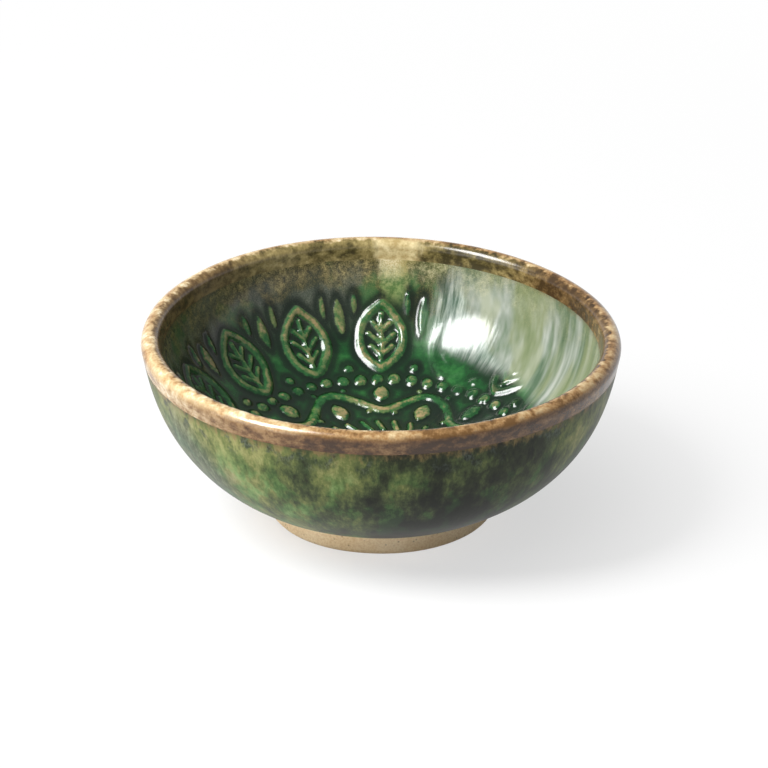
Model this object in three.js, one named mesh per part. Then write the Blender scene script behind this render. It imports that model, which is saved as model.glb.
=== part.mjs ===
// Dip bowl: a small stoneware bowl, pressed over a mould and glazed in three coats.
// Millimetres, +Z up. The origin is on the table, under the middle of the foot.
// The clay body carries a relief inside, and a foot ring of bare clay is luted under it.
// Every coat of glaze lies on the very faces of the clay, and the coats meet edge to edge.
import * as THREE from 'three';
import { mergeVertices } from 'three/addons/utils/BufferGeometryUtils.js';

// Bowl
const bowlDiameter = 100;
const bowlHeight = 40;
const rimThickness = 4;
const floorThickness = 4.4;
const rimLean = 0.5; // how far the rim stands high on one side and low on the other
const rimHighTurn = 0.5; // where it stands highest, as a share of a turn
const rimWarp = 0.27; // how far two opposite sides stand up and the other two down
const rimWarpTurn = 0.32; // where one of them stands up

// Wall, inside and outside
const insideLean = 9; // degrees off upright where the inside meets the lip
const outsideLean = 12; // degrees off upright where the lip meets the outside
const undersideSlope = 21.2; // degrees off level where the outside meets the foot
const insideUprightShare = 0.62; // of the depth of the bowl
const floorFlatShare = 0.62; // of the way from the middle to the lip
const outsideUprightShare = 0.21; // of the height above the foot
const bellyShare = 0.92; // of the overhang from the foot to the lip

// Foot ring
const footHeight = 5.2;
const footTopRadius = 24.2;
const footTaper = 0.6;
const footWidth = 5.4;
const footBevel = 0.7;
const recessDepth = 0.5;

// Glaze
const glazeDepth = 0.6;
const crestThinning = 0.55; // share of the glaze that runs off a full crest
const rimBandInside = 2.4;
const rimBandOutside = 2.2;
const bareClayAboveFoot = 2.6;
const glazeLineTilt = 2; // the glaze stops higher on one side
const glazeLineHighTurn = 0.62; // where it stops highest, as a share of a turn
const glazeLineWander = 0.25;
const glazeRollDepth = 0.7;
const glazeRollWidth = 1.6;
const glazeEdgeDepth = 0.3;

// Relief, from the middle of the floor outwards
const crestHeight = 1;
const bossRadius = 2;
const groundWidth = 0.9;
const petalCount = 7;
const petalLength = 8.6;
const petalHalfWidth = 0.4; // share of the pitch from petal to petal
const cordStrands = 28;
const cordWidth = 3.4;
const vineWaves = 7;
const vineBandWidth = 12;
const vineSwing = 3;
const vineStemWidth = 1.9;
const lineWidth = 1.5;
const leafCount = 14;
const leafLength = 18;
const leafHalfWidth = 0.38; // share of the pitch from leaf to leaf
const outlineWidth = 0.15; // raised edge of a leaf or petal, share of the pitch
const hollowShare = 0.1; // height of the hollow inside it, share of the crest

// Facets round the bowl
const plainColumns = 56;
const columnsPerWave = 10;

const radians = THREE.MathUtils.degToRad;

// Section of the clay: r across, z up, drawn from the middle of the floor, up the inside,
// over the lip and down the outside to the foot.
const rimRadius = bowlDiameter / 2;
const clayLipRadius = rimThickness / 2 - glazeDepth;
const lipCentre = new THREE.Vector2(rimRadius - rimThickness / 2, bowlHeight - rimThickness / 2);
const floorLevel = footHeight + recessDepth + floorThickness;
const lipStart = radians(180 - insideLean);
const lipEnd = radians(-outsideLean);

function onLip(angle) {
  const spoke = new THREE.Vector2(Math.cos(angle), Math.sin(angle));
  return spoke.multiplyScalar(clayLipRadius).add(lipCentre);
}

function alongLip(angle, distance) {
  const heading = new THREE.Vector2(Math.sin(angle), -Math.cos(angle));
  return onLip(angle).add(heading.multiplyScalar(distance));
}

function insideSection() {
  const depth = lipCentre.y - floorLevel;
  const middle = new THREE.Vector2(0, floorLevel);
  const floorHandle = new THREE.Vector2(floorFlatShare * lipCentre.x, floorLevel);
  const wallHandle = alongLip(lipStart, -insideUprightShare * depth);
  return new THREE.CubicBezierCurve(middle, floorHandle, wallHandle, onLip(lipStart));
}

function outsideSection() {
  const slope = radians(undersideSlope);
  const footEdge = new THREE.Vector2(footTopRadius, footHeight);
  const upright = outsideUprightShare * (lipCentre.y - footHeight);
  const belly = bellyShare * (onLip(lipEnd).x - footTopRadius);
  const sweep = new THREE.Vector2(Math.cos(slope), Math.sin(slope)).multiplyScalar(belly);
  return new THREE.CubicBezierCurve(
    onLip(lipEnd),
    alongLip(lipEnd, upright),
    footEdge.clone().add(sweep),
    footEdge,
  );
}

const inside = insideSection();
const lip = new THREE.EllipseCurve(
  lipCentre.x,
  lipCentre.y,
  clayLipRadius,
  clayLipRadius,
  lipStart,
  lipEnd,
  true,
);
const outside = outsideSection();

// A point of the bowl from its radius, level and turn. The rim leans and warps a little, as soft clay
// does, and the foot stays flat.
function place(radius, level, turn) {
  const angle = 2 * Math.PI * turn;
  const reach = radius / rimRadius;
  const lean = rimLean * reach * Math.cos(angle - 2 * Math.PI * rimHighTurn);
  const warp = rimWarp * reach ** 2 * Math.cos(2 * (angle - 2 * Math.PI * rimWarpTurn));
  const height = level * (1 + (lean + warp) / bowlHeight);
  return { turn, at: new THREE.Vector3(radius * Math.cos(angle), radius * Math.sin(angle), height) };
}

// A point over a section curve: s millimetres along it, lifted off it square to the surface.
function over(curve, s, lift, turn) {
  const share = THREE.MathUtils.clamp(s / curve.getLength(), 0, 1);
  const foot = curve.getPointAt(share);
  const heading = curve.getTangentAt(share);
  return place(foot.x - heading.y * lift, foot.y + heading.x * lift, turn);
}

// A mark is one point of the design: its turn, its distance s along the section and its relief.
function roundMarks(count, s, relief = 0) {
  return Array.from({ length: count }, (unused, k) => ({ turn: k / count, s, relief }));
}

// A row across a ring of leaves, each with a raised edge round a hollow. Near a tip the two edges run
// together, so the middle stands nearly as high as they do.
function leafMarks(count, s, halfWidth, rise, middle) {
  const crest = Math.max(halfWidth - outlineWidth / 2, 0.6 * halfWidth);
  const inner = Math.max(halfWidth - outlineWidth, 0.3 * halfWidth);
  const row = [
    { share: 0.5 - halfWidth, relief: 0 },
    { share: 0.5 - crest, relief: rise },
    { share: 0.5 - inner, relief: middle },
    { share: 0.5 + inner, relief: middle },
    { share: 0.5 + crest, relief: rise },
    { share: 0.5 + halfWidth, relief: 0 },
  ];
  return Array.from({ length: count }, (unused, k) => row.map((mark) => ({
    turn: (k + mark.share) / count,
    s,
    relief: mark.relief,
  }))).flat();
}

// One row of a twisted cord: strands stand high and low in turn, and each row is shifted a step.
function cordMarks(s, shift, rise) {
  return Array.from({ length: 2 * cordStrands }, (unused, k) => ({
    turn: k / (2 * cordStrands),
    s,
    relief: (k + shift) % 2 === 0 ? rise : rise / 3,
  }));
}

// One row of the running vine, at a distance to one side of the stem's middle.
function vineMarks(middle, aside, rise) {
  const count = vineWaves * columnsPerWave;
  return Array.from({ length: count }, (unused, k) => ({
    turn: k / count,
    s: middle + aside + vineSwing * Math.sin((2 * Math.PI * k) / columnsPerWave),
    relief: rise,
  }));
}

// The relief as rows of marks, from the boss in the middle to the leaves on the wall.
function reliefRows() {
  const petalStart = bossRadius + groundWidth;
  const petalEnd = petalStart + petalLength;
  const cordStart = petalEnd + groundWidth;
  const cordEnd = cordStart + cordWidth;
  const vineStart = cordEnd + groundWidth;
  const vineMiddle = vineStart + vineBandWidth / 2;
  const vineEnd = vineStart + vineBandWidth;
  const lineEnd = vineEnd + lineWidth;
  const leafStart = lineEnd + groundWidth;
  const leafRow = (count, start, length, halfWidth) => (share, width, rise, middle = hollowShare) =>
    leafMarks(count, start + share * length, width * halfWidth, rise * crestHeight, middle * crestHeight);
  const petal = leafRow(petalCount, petalStart, petalLength, petalHalfWidth);
  const leaf = leafRow(leafCount, leafStart, leafLength, leafHalfWidth);
  return [
    roundMarks(2 * petalCount, bossRadius, crestHeight / 2),
    petal(0, 0.3, 0, 0),
    petal(0.2, 0.6, 1, 0.6),
    petal(0.6, 1, 1),
    petal(0.88, 0.7, 1, 0.8),
    petal(1, 0.3, 0, 0),
    roundMarks(2 * cordStrands, cordStart),
    cordMarks(cordStart + cordWidth / 3, 0, crestHeight),
    cordMarks(cordEnd - cordWidth / 3, 1, crestHeight),
    roundMarks(2 * cordStrands, cordEnd),
    vineMarks(vineMiddle, -vineStemWidth / 2, 0),
    vineMarks(vineMiddle, 0, crestHeight),
    vineMarks(vineMiddle, vineStemWidth / 2, 0),
    roundMarks(plainColumns, vineEnd),
    roundMarks(plainColumns, (vineEnd + lineEnd) / 2, crestHeight),
    roundMarks(plainColumns, lineEnd),
    leaf(0, 0.3, 0, 0),
    leaf(0.08, 0.5, 1, 0.8),
    leaf(0.26, 0.86, 1),
    leaf(0.48, 1, 1),
    leaf(0.7, 0.78, 1),
    leaf(0.9, 0.4, 1, 0.8),
    leaf(1, 0.16, 0, 0),
  ];
}

// Rows on the smooth parts of the clay.
function evenRows(from, to, steps) {
  return Array.from({ length: steps }, (unused, k) => roundMarks(plainColumns, from + ((to - from) * (k + 1)) / steps));
}

const relief = reliefRows();
const smoothStart = relief.at(-1)[0].s + groundWidth;
const insideRimLine = inside.getLength() - rimBandInside;
const smoothWall = evenRows(smoothStart, insideRimLine, 2);
const insideRows = [...relief, roundMarks(plainColumns, smoothStart), ...smoothWall];
const lipRows = evenRows(0, lip.getLength(), 4);

// The lower edge of the outside glaze wanders as the glaze ran.
function glazeLine(offset) {
  const level = outside.getLength() - bareClayAboveFoot - offset;
  return roundMarks(plainColumns, level).map((mark) => {
    const angle = 2 * Math.PI * mark.turn;
    const tilt = glazeLineTilt * Math.cos(angle - 2 * Math.PI * glazeLineHighTurn);
    const wander = glazeLineWander * (Math.sin(3 * angle) + 0.5 * Math.cos(7 * angle));
    return { ...mark, s: level - tilt + wander };
  });
}

const rollStart = outside.getLength() - bareClayAboveFoot - glazeLineTilt - 2 * glazeRollWidth;
const outsideRows = [...evenRows(rimBandOutside, rollStart, 4), glazeLine(glazeRollWidth), glazeLine(0)];

// Glaze over a mark: full on the ground, thin on a crest.
function coatDepth(mark) {
  return glazeDepth * (1 - crestThinning * (mark.relief / crestHeight));
}

const clayRing = (curve, marks) => marks.map((mark) => over(curve, mark.s, mark.relief, mark.turn));
const glazeRing = (curve, marks, depth = coatDepth) =>
  marks.map((mark) => over(curve, mark.s, mark.relief + depth(mark), mark.turn));

// The clay's rings and the glaze's rings over them, part by part.
const middleMark = { turn: 0, s: 0, relief: crestHeight };
const floorMiddle = (lift) => [place(0, floorLevel + lift, 0)];
const insideClay = [floorMiddle(crestHeight), ...insideRows.map((row) => clayRing(inside, row))];
const insideCoat = [
  floorMiddle(crestHeight + coatDepth(middleMark)),
  ...insideRows.map((row) => glazeRing(inside, row)),
];
const outsideRimRow = roundMarks(plainColumns, rimBandOutside);
const rimClay = [
  insideClay.at(-1),
  clayRing(inside, roundMarks(plainColumns, inside.getLength())),
  ...lipRows.map((row) => clayRing(lip, row)),
  clayRing(outside, outsideRimRow),
];
const rimCoat = [
  insideCoat.at(-1),
  glazeRing(inside, roundMarks(plainColumns, inside.getLength())),
  ...lipRows.map((row) => glazeRing(lip, row)),
  glazeRing(outside, outsideRimRow),
];
const outsideClay = [rimClay.at(-1), ...outsideRows.map((row) => clayRing(outside, row))];
const rollDepths = [() => glazeRollDepth, () => glazeEdgeDepth];
const outsideCoat = [
  rimCoat.at(-1),
  ...outsideRows.slice(0, -2).map((row) => glazeRing(outside, row)),
  ...outsideRows.slice(-2).map((row, k) => glazeRing(outside, row, rollDepths[k])),
];

// Foot ring: its seat lies against the underside of the bowl, and its bottom stands on the table.
const levelRing = (radius, level) => roundMarks(plainColumns).map((mark) => place(radius, level, mark.turn));
const footInnerRadius = footTopRadius - footWidth;
const footBottomRadius = footTopRadius - footTaper;
const footSeatOuter = levelRing(footTopRadius, footHeight);
const footSeatInner = levelRing(footInnerRadius, footHeight);
const footRings = [
  footSeatOuter,
  levelRing(footBottomRadius, footBevel),
  levelRing(footBottomRadius - footBevel, 0),
  levelRing(footInnerRadius + footTaper + footBevel, 0),
  levelRing(footInnerRadius + footTaper, footBevel),
  footSeatInner,
];
const recessRings = [
  levelRing(footInnerRadius - 2 * recessDepth, footHeight + recessDepth),
  [place(0, footHeight + recessDepth, 0)],
];

// The band of triangles between two rings, which steps along the one whose next point lies nearer
// in turn. It faces up where the first ring lies inside the second.
function band(first, second) {
  const steps = (ring) => (ring.length === 1 ? 0 : ring.length);
  const corner = (ring, k) => ring[k % ring.length].at;
  const turnAt = (ring, k) => ring[k % ring.length].turn + Math.floor(k / ring.length);
  const sameTurn = 1e-9;
  const triangles = [];
  let i = 0;
  let j = 0;
  while (i < steps(first) || j < steps(second)) {
    const edge = [corner(first, i), corner(second, j)];
    const firstReach = Math.abs(turnAt(first, i + 1) - turnAt(second, j));
    const secondReach = Math.abs(turnAt(second, j + 1) - turnAt(first, i));
    const firstNearer = i < steps(first) && firstReach <= secondReach + sameTurn;
    if (firstNearer || j === steps(second)) {
      i += 1;
      triangles.push([...edge, corner(first, i)]);
    } else {
      j += 1;
      triangles.push([...edge, corner(second, j)]);
    }
  }
  return triangles;
}

const skin = (rings) => rings.slice(1).flatMap((ring, k) => band(rings[k], ring));
const turned = (triangles) => triangles.map(([a, b, c]) => [a, c, b]);

// A coat of glaze: its face, its back against the clay, and its two edges.
function coat(clayRings, coatRings) {
  return [
    ...skin(coatRings),
    ...band(coatRings.at(-1), clayRings.at(-1)),
    ...turned(skin(clayRings)),
    ...turned(band(coatRings[0], clayRings[0])),
  ];
}

function piece(name, triangles, finish) {
  const corners = triangles.flat().flatMap((point) => point.toArray());
  const soup = new THREE.BufferGeometry();
  soup.setAttribute('position', new THREE.Float32BufferAttribute(corners, 3));
  const geometry = mergeVertices(soup);
  geometry.computeVertexNormals();
  const mesh = new THREE.Mesh(geometry, new THREE.MeshStandardMaterial(finish));
  mesh.name = name;
  return mesh;
}

function clayBowl() {
  const rings = [
    ...insideClay,
    ...rimClay.slice(1),
    ...outsideClay.slice(1),
    footSeatOuter,
    footSeatInner,
    ...recessRings,
  ];
  return piece('clay_bowl', skin(rings), { color: '#c9a87c', roughness: 0.9, metalness: 0 });
}

function footRing() {
  const triangles = [...skin(footRings), ...turned(band(footSeatOuter, footSeatInner))];
  return piece('foot_ring', triangles, { color: '#cdb088', roughness: 0.9, metalness: 0 });
}

const dipBowl = new THREE.Group();
dipBowl.name = 'dip_bowl';
dipBowl.add(
  clayBowl(),
  footRing(),
  piece('inside_glaze', coat(insideClay, insideCoat), { color: '#2f6b3c', roughness: 0.12, metalness: 0 }),
  piece('outside_glaze', coat(outsideClay, outsideCoat), { color: '#66703f', roughness: 0.2, metalness: 0 }),
  piece('rim_glaze', coat(rimClay, rimCoat), { color: '#8a6f48', roughness: 0.22, metalness: 0 }),
);

export default dipBowl;
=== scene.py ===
# Dip bowl: a small stoneware bowl, pressed over a mould, glazed inside, outside and over the lip.
# Every piece is built in metres in the frame of the model. It stands on the table at z = 0.
import math

import bpy
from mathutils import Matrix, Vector
from mathutils.geometry import interpolate_bezier


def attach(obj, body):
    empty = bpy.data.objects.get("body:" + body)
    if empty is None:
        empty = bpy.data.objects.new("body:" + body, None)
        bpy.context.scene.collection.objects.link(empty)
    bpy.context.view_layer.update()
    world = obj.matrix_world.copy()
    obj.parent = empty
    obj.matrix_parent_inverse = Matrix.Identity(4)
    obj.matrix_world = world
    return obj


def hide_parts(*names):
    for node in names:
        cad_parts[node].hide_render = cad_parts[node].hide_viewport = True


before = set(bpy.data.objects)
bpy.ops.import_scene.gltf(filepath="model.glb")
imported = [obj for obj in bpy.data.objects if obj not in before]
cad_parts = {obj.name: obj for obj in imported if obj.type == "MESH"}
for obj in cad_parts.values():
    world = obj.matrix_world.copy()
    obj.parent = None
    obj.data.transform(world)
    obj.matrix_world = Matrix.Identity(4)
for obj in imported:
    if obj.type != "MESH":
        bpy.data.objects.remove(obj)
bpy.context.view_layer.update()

# Clay bowl
# The body is buff stoneware, pressed over a mould while soft and sponged round at the lip. After
# the glaze is on, bare clay shows only in a narrow strip above the foot and in the foot's recess.
MM = 0.001
BOWL_RADIUS = 50 * MM
BOWL_HEIGHT = 40 * MM
RIM_THICKNESS = 4 * MM
GLAZE_DEPTH = 0.6 * MM
FLOOR_LEVEL = 10.1 * MM
FOOT_HEIGHT = 5.2 * MM
FOOT_TOP_RADIUS = 24.2 * MM
FOOT_WIDTH = 5.4 * MM
RECESS_DEPTH = 0.5 * MM
INSIDE_LEAN = math.radians(9)
OUTSIDE_LEAN = math.radians(12)
UNDERSIDE_SLOPE = math.radians(21.2)
INSIDE_UPRIGHT_SHARE = 0.62  # of the depth of the bowl
FLOOR_FLAT_SHARE = 0.62  # of the way from the middle to the lip
OUTSIDE_UPRIGHT_SHARE = 0.21  # of the height above the foot
BELLY_SHARE = 0.92  # of the overhang from the foot to the lip
RIM_LEAN = 0.5 * MM
RIM_WARP = 0.27 * MM
RIM_WARP_TURN = 0.32
HAND_WOBBLE = 0.15 * MM
WOBBLE_LENGTH = 40 * MM
CURVE_POINTS = 512
CLAY_COLUMNS = 240
CLAY_ROWS = 260
WELD = 0.001 * MM
SHARP_EDGE = math.radians(55)
PAST_END = 1.0005  # a row asked for just past the end of a section lies on its end, which closes the mesh


def linear(hex_colour):
    """An sRGB hex colour as linear red, green, blue and alpha."""
    parts = [int(hex_colour[k:k + 2], 16) / 255 for k in (1, 3, 5)]
    return tuple(c / 12.92 if c <= 0.04045 else ((c + 0.055) / 1.055) ** 2.4 for c in parts) + (1.0,)


def add(tree, kind, inputs=(), stops=(), **settings):
    """Add one node with its settings and the stops of its ramp. Its inputs are a list in the order of its
    sockets, or a dict by name, and each is a value, a hex colour, a socket, or a node's first output."""
    node = tree.nodes.new(kind)
    for name, value in settings.items():
        setattr(node, name, value)
    shown = [socket for socket in node.inputs if socket.enabled]
    for key, value in inputs.items() if isinstance(inputs, dict) else enumerate(inputs):
        socket = shown[key] if isinstance(key, int) else next(s for s in shown if s.name == key)
        if isinstance(value, bpy.types.Node):
            value = next(output for output in value.outputs if output.enabled)
        if isinstance(value, bpy.types.NodeSocket):
            tree.links.new(value, socket)
        elif isinstance(value, str) and value.startswith("#"):
            socket.default_value = linear(value)
        else:
            socket.default_value = value
    for k, (position, colour) in enumerate(stops):
        elements = node.color_ramp.elements
        element = elements[k] if k < 2 else elements.new(position)
        element.position = position
        element.color = linear(colour)
    return node


def node_tree(name, inputs, outputs=(("Geometry", "Geometry"),)):
    """An empty geometry tree with named inputs and outputs, and its two end nodes."""
    tree = bpy.data.node_groups.new(name, "GeometryNodeTree")
    for label, kind, default in inputs:
        socket = tree.interface.new_socket(label, in_out="INPUT", socket_type="NodeSocket" + kind)
        if default is not None:
            socket.default_value = default
    for label, kind in outputs:
        tree.interface.new_socket(label, in_out="OUTPUT", socket_type="NodeSocket" + kind)
    return tree, tree.nodes.new("NodeGroupInput"), tree.nodes.new("NodeGroupOutput")


def placed(name, data):
    """A new object of the scene."""
    made = bpy.data.objects.new(name, data)
    bpy.context.scene.collection.objects.link(made)
    return made


def grown(name, tree, values):
    """Run a tree with these inputs, and keep what it makes as the plain mesh of one object."""
    piece = placed(name, bpy.data.meshes.new(name))
    modifier = piece.modifiers.new("shape", "NODES")
    modifier.node_group = tree
    for item in tree.interface.items_tree:
        if item.item_type == "SOCKET" and item.in_out == "INPUT" and item.name in values:
            modifier[item.identifier] = values[item.name]
    view_layer = bpy.context.evaluated_depsgraph_get()
    mesh = bpy.data.meshes.new_from_object(piece.evaluated_get(view_layer))
    piece.modifiers.remove(modifier)
    piece.data = mesh
    return piece


lip_centre = Vector((BOWL_RADIUS - RIM_THICKNESS / 2, 0, BOWL_HEIGHT - RIM_THICKNESS / 2))
clay_lip = RIM_THICKNESS / 2 - GLAZE_DEPTH


def on_lip(angle):
    return lip_centre + clay_lip * Vector((math.cos(angle), 0, math.sin(angle)))


def along_lip(angle, distance):
    return on_lip(angle) + distance * Vector((math.sin(angle), 0, -math.cos(angle)))


def straight(corners):
    """Bezier stretches that run straight from corner to corner."""
    return [(a, a.lerp(b, 1 / 3), a.lerp(b, 2 / 3), b) for a, b in zip(corners, corners[1:])]


def clay_section():
    """The clay's section as Bezier stretches: inside, lip, outside, seat of the foot, recess."""
    start, end = math.pi - INSIDE_LEAN, -OUTSIDE_LEAN
    top = (start + end) / 2
    arc = 4 / 3 * math.tan((start - end) / 8) * clay_lip
    middle = Vector((0, 0, FLOOR_LEVEL))
    floor_flat = Vector((FLOOR_FLAT_SHARE * lip_centre.x, 0, FLOOR_LEVEL))
    foot = Vector((FOOT_TOP_RADIUS, 0, FOOT_HEIGHT))
    seat = Vector((FOOT_TOP_RADIUS - FOOT_WIDTH, 0, FOOT_HEIGHT))
    step = seat + Vector((-2 * RECESS_DEPTH, 0, RECESS_DEPTH))
    recess = Vector((0, 0, FOOT_HEIGHT + RECESS_DEPTH))
    wall = INSIDE_UPRIGHT_SHARE * (lip_centre.z - FLOOR_LEVEL)
    upright = OUTSIDE_UPRIGHT_SHARE * (lip_centre.z - FOOT_HEIGHT)
    belly = BELLY_SHARE * (on_lip(end).x - FOOT_TOP_RADIUS)
    sweep = Vector((math.cos(UNDERSIDE_SLOPE), 0, math.sin(UNDERSIDE_SLOPE))) * belly
    return [
        (middle, floor_flat, along_lip(start, -wall), on_lip(start)),
        (on_lip(start), along_lip(start, arc), along_lip(top, -arc), on_lip(top)),
        (on_lip(top), along_lip(top, arc), along_lip(end, -arc), on_lip(end)),
        (on_lip(end), along_lip(end, upright), foot + sweep, foot),
        *straight([foot, seat, step, recess]),
    ]


def stretch_length(stretch):
    points = interpolate_bezier(*stretch, CURVE_POINTS)
    return sum((b - a).length for a, b in zip(points, points[1:]))


def curve_object(name, stretches):
    data = bpy.data.curves.new(name, "CURVE")
    data.dimensions = "3D"
    data.resolution_u = CURVE_POINTS
    spline = data.splines.new("BEZIER")
    spline.bezier_points.add(len(stretches))
    ends = [s[0] for s in stretches] + [stretches[-1][3]]
    lefts = [stretches[0][0]] + [s[2] for s in stretches]
    rights = [s[1] for s in stretches] + [stretches[-1][3]]
    for point, end, left, right in zip(spline.bezier_points, ends, lefts, rights):
        point.handle_left_type = point.handle_right_type = "FREE"
        point.co, point.handle_left, point.handle_right = end, left, right
    return placed(name, data)


section = curve_object("clay_section", clay_section())
lengths = [stretch_length(s) for s in clay_section()]
INSIDE_LENGTH = lengths[0]
OUTSIDE_START = sum(lengths[:3])
OUTSIDE_LENGTH = lengths[3]


def summed(tree, *parts):
    """The sum of these parts; a part that is a pair is a value and its weight."""
    total = 0.0
    for part in parts:
        value, weight = part if isinstance(part, tuple) else (part, 1.0)
        total = add(tree, "ShaderNodeMath", [value, weight, total], operation="MULTIPLY_ADD")
    return total


def eased(tree, *parts):
    """The product of these parts. One in brackets is a value, where its effect starts and where it is
    full, and then its least and its most, if they aren't 0 and 1; it eases in between."""
    share = 1.0
    for part in parts:
        if isinstance(part, tuple):
            part = add(tree, "ShaderNodeMapRange", part, interpolation_type="SMOOTHSTEP")
        share = add(tree, "ShaderNodeMath", [part, share], operation="MULTIPLY")
    return share


def wave(tree, turn, count, first):
    """That many waves round the bowl, between -1 and 1, with a crest at the first turn given."""
    angle = summed(tree, (turn, 2 * math.pi * count), -2 * math.pi * count * first)
    return add(tree, "ShaderNodeMath", [angle], operation="COSINE")


def outwards(tree, turn):
    """The level direction of a turn, as seen from the middle of the bowl."""
    return add(tree, "ShaderNodeCombineXYZ", [wave(tree, turn, 1, 0.0), wave(tree, turn, 1, 0.25)])


def on_section_tree():
    """Where a point of the bowl lies: its turn, its distance along the section and its lift."""
    tree, given, out = node_tree("on_section", [
        ("Section", "Geometry", None),
        ("Turn", "Float", 0.0),
        ("Along", "Float", 0.0),
        ("Lift", "Float", 0.0),
    ], [("Position", "Vector"), ("Fall", "Vector")])
    curve, turn, along, lift = given.outputs[:4]
    sample = add(tree, "GeometryNodeSampleCurve", {"Curves": curve, "Length": along}, mode="LENGTH")
    place = add(tree, "ShaderNodeSeparateXYZ", [sample.outputs["Position"]]).outputs
    heading = add(tree, "ShaderNodeSeparateXYZ", [sample.outputs["Tangent"]]).outputs
    radius = summed(tree, place["X"], (eased(tree, heading["Z"], lift), -1.0))
    level = summed(tree, place["Z"], (heading["X"], lift))
    to_side = outwards(tree, turn)
    at_rim = (BOWL_RADIUS / MM,) * 3
    fall, at_level = [
        add(tree, "ShaderNodeVectorMath",
            [to_side, at_rim, add(tree, "ShaderNodeCombineXYZ", {"Z": summed(tree, (height, 1 / MM))})],
            operation="MULTIPLY_ADD")
        for height in (along, place["Z"])
    ]
    # The clay was soft when it was pressed, so no level of it is a true circle.
    waves = add(tree, "ShaderNodeTexNoise", {"Vector": at_level, "Scale": MM / WOBBLE_LENGTH, "Detail": 1.0})
    offset = add(tree, "ShaderNodeMapRange", [waves, 0.3, 0.7, -1.0, 1.0])
    radius = summed(tree, radius, (offset, eased(tree, radius, HAND_WOBBLE / BOWL_RADIUS)))
    flat = add(tree, "ShaderNodeVectorMath", [to_side, radius], operation="SCALE")
    # The rim leans to one side and warps a little, while the foot stays flat.
    x = add(tree, "ShaderNodeSeparateXYZ", [flat]).outputs["X"]
    reach = eased(tree, radius, radius, RIM_WARP / (BOWL_RADIUS ** 2 * BOWL_HEIGHT))
    raised = summed(tree, 1.0, (x, -RIM_LEAN / (BOWL_RADIUS * BOWL_HEIGHT)),
                    (wave(tree, turn, 2, RIM_WARP_TURN), reach))
    position = add(tree, "ShaderNodeVectorMath",
                   [flat, add(tree, "ShaderNodeCombineXYZ", {"Z": eased(tree, level, raised)})],
                   operation="ADD")
    tree.links.new(position.outputs[0], out.inputs["Position"])
    tree.links.new(fall.outputs[0], out.inputs["Fall"])
    return tree


on_section = on_section_tree()


def grid_rows(tree, columns, rows):
    """A flat grid, and for each of its points the turn and the number of its row."""
    grid = add(tree, "GeometryNodeMeshGrid", {"Vertices X": summed(tree, columns, 1.0), "Vertices Y": rows})
    here = add(tree, "ShaderNodeSeparateXYZ", [add(tree, "GeometryNodeInputPosition")])
    row = eased(tree, summed(tree, here.outputs["Y"], 0.5), summed(tree, rows, -1.0))
    return grid, summed(tree, here.outputs["X"], 0.5), add(tree, "ShaderNodeMath", [row], operation="ROUND")


def lay_on_bowl(tree, given, out, grid, turn, along, lift, kept=()):
    """Lay a grid on the bowl, store the values kept for its material, and weld it shut."""
    curve = add(tree, "GeometryNodeObjectInfo", {"Object": given.outputs["Section"]})
    laid = add(tree, "GeometryNodeGroup", [curve.outputs["Geometry"], turn, along, lift],
               node_tree=on_section)
    shape = grid
    for label, kind, value in [("fall", "FLOAT_VECTOR", laid.outputs["Fall"]), *kept]:
        shape = add(tree, "GeometryNodeStoreNamedAttribute",
                    {"Geometry": shape, "Name": label, "Value": value}, data_type=kind, domain="POINT")
    shape = add(tree, "GeometryNodeSetPosition", {"Geometry": shape, "Position": laid.outputs["Position"]})
    shape = add(tree, "GeometryNodeMergeByDistance", {"Geometry": shape, "Distance": WELD})
    shape = add(tree, "GeometryNodeFlipFaces", {"Mesh": shape})
    shape = add(tree, "GeometryNodeSetShadeSmooth", {"Geometry": shape}, domain="FACE")
    edge_angle = add(tree, "GeometryNodeInputMeshEdgeAngle")
    sharp = add(tree, "ShaderNodeMath", [edge_angle, SHARP_EDGE], operation="GREATER_THAN")
    shape = add(tree, "GeometryNodeSetShadeSmooth",
                {"Geometry": shape, "Selection": sharp, "Shade Smooth": False}, domain="EDGE")
    shape = add(tree, "GeometryNodeRealizeInstances", {"Geometry": shape})
    shape = add(tree, "GeometryNodeSetMaterial", {"Geometry": shape, "Material": given.outputs["Material"]})
    tree.links.new(shape.outputs[0], out.inputs["Geometry"])


def clay_tree():
    """A piece of clay: its section turned round the bowl's axis, from one end to the other."""
    tree, given, out = node_tree("pressed_clay", [
        ("Section", "Object", None),
        ("Columns", "Int", CLAY_COLUMNS),
        ("Rows", "Int", CLAY_ROWS),
        ("Length", "Float", 0.2),
        ("Material", "Material", None),
    ])
    grid, turn, row = grid_rows(tree, given.outputs["Columns"], given.outputs["Rows"])
    last = summed(tree, given.outputs["Rows"], -1.0)
    along = add(tree, "ShaderNodeMapRange", [row, 0.0, last, 0.0, given.outputs["Length"]])
    lay_on_bowl(tree, given, out, grid, turn, along, 0.0)
    return tree


def new_material(name, roughness):
    """A material with its tree and its shader."""
    material = bpy.data.materials.new(name)
    material.use_nodes = True
    shader = material.node_tree.nodes["Principled BSDF"]
    shader.inputs["Roughness"].default_value = roughness
    return material, material.node_tree, shader


def surfaced(tree, shader, colour, height, strength, depth):
    """Give a shader its colour and the fine relief of its surface."""
    bump = add(tree, "ShaderNodeBump", {"Strength": strength, "Distance": depth, "Height": height})
    tree.links.new(next(output for output in colour.outputs if output.enabled), shader.inputs["Base Color"])
    tree.links.new(bump.outputs[0], shader.inputs["Normal"])
    return bump


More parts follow.
